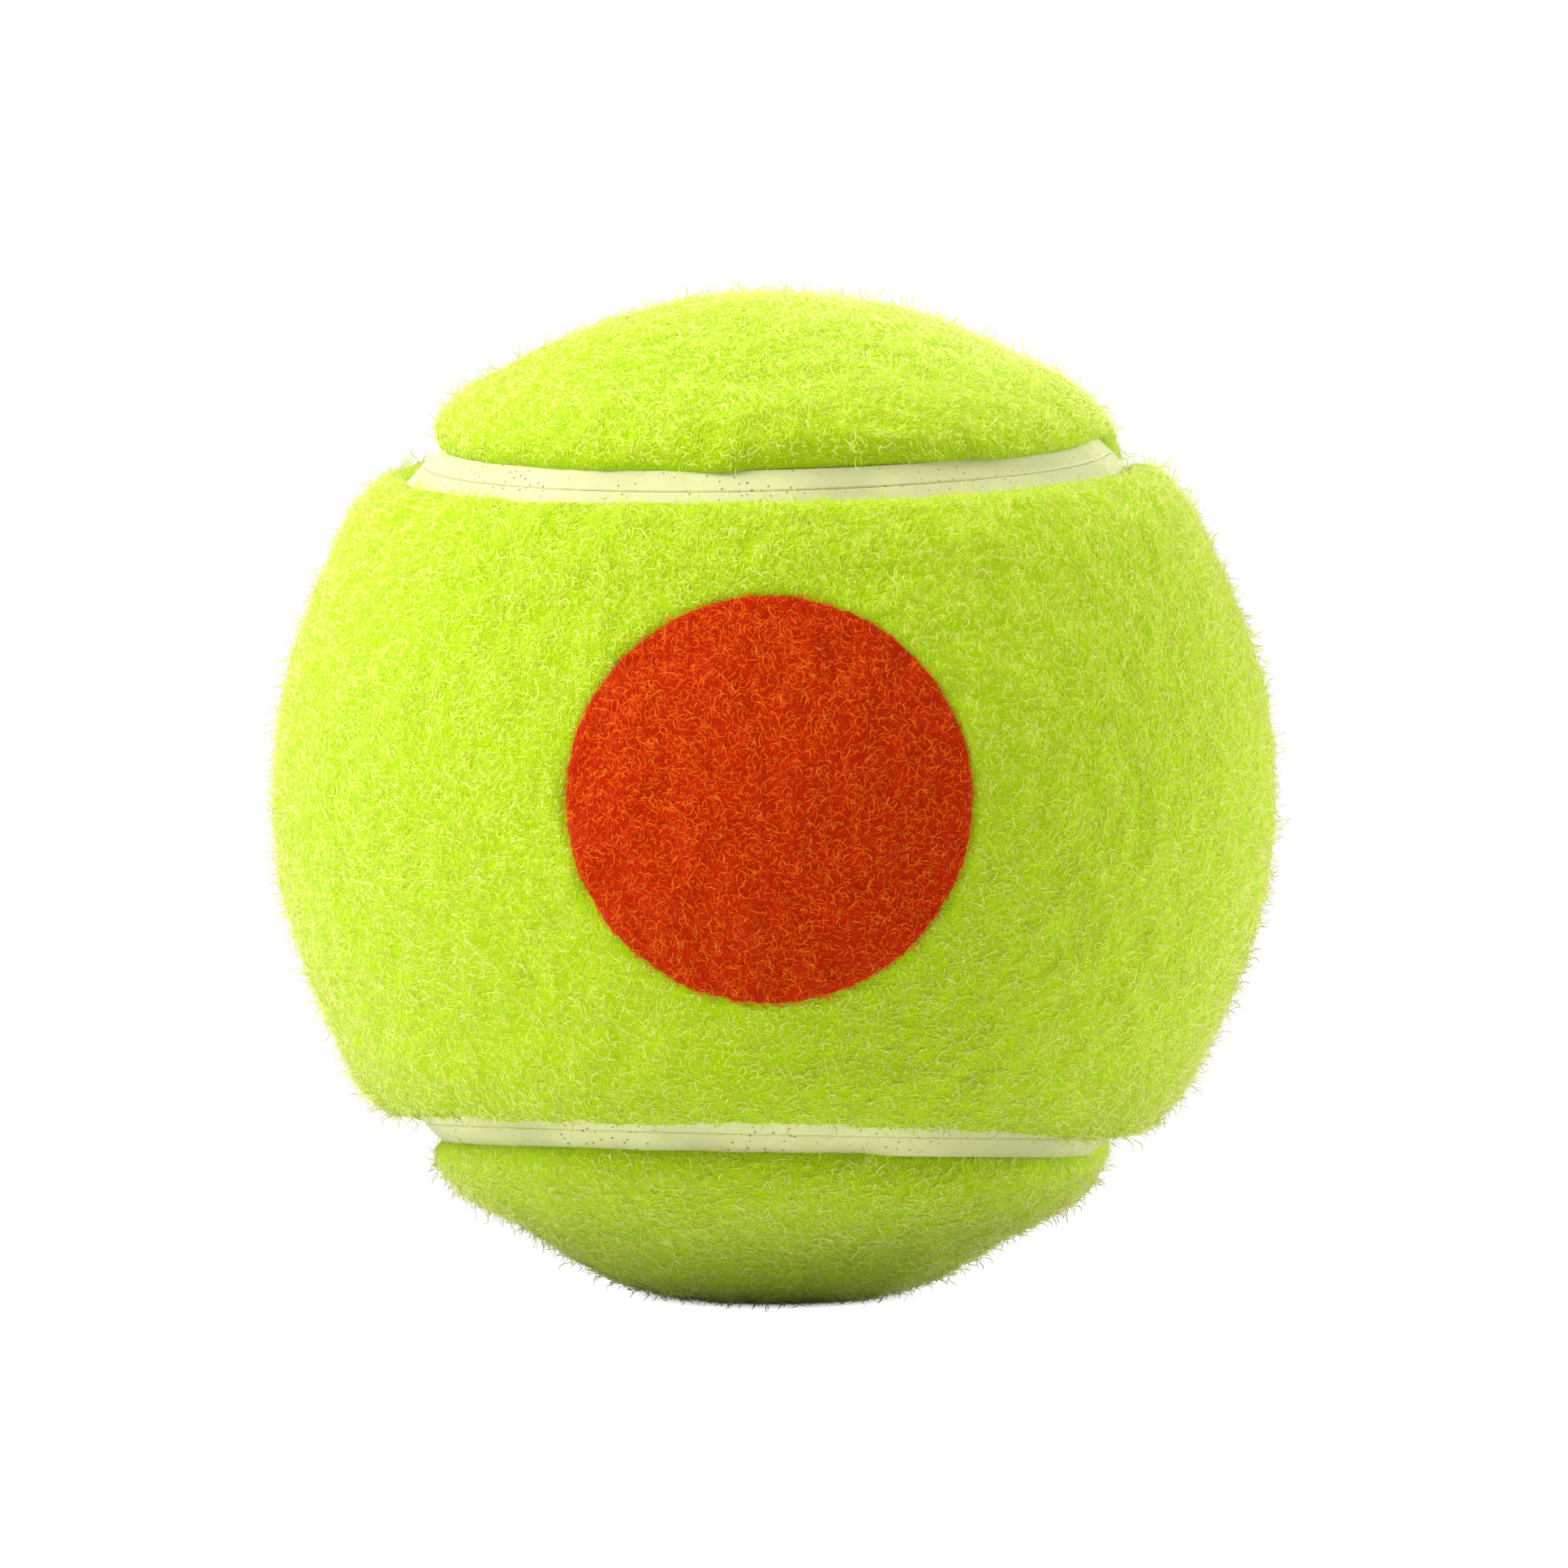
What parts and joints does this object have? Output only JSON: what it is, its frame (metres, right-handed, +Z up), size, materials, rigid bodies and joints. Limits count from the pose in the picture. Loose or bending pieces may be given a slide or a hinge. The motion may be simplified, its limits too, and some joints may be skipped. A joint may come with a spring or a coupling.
{
  "type": "tennis ball",
  "caption": "Felt-covered hollow rubber ball with a recessed wavy seam between interlocking panels and a printed dot, resting on a small patch of crushed nap.",
  "frame": {"origin": "centre of the ball", "axes": "+Z up, away from the rest patch; -Y towards the middle of the front panel's waist; +X to the right seen from the front"},
  "size_m": [0.067, 0.067, 0.0667],
  "materials": {
    "core_rubber": "matte moulded black-grey rubber",
    "joint_cement": "dried amber rubber cement",
    "core_coat": "thin dried rubber cement",
    "panel_coat": "thin cement on the woven felt back",
    "yellow_felt": "napped wool and nylon felt, optic yellow",
    "seam_rubber": "off-white matte rubber",
    "dyed_felt": "orange dyed nap"
  },
  "bodies": {
    "root": {"upper_core_half": "core_rubber", "lower_core_half": "core_rubber", "core_joint_cement": "joint_cement", "core_cement_coat": "core_coat", "front_panel_backing": "panel_coat", "back_panel_backing": "panel_coat", "front_felt_panel": "yellow_felt", "back_felt_panel": "yellow_felt", "front_seam_edge": "seam_rubber", "back_seam_edge": "seam_rubber", "printed_dot": "dyed_felt"}
  },
  "joints": []
}
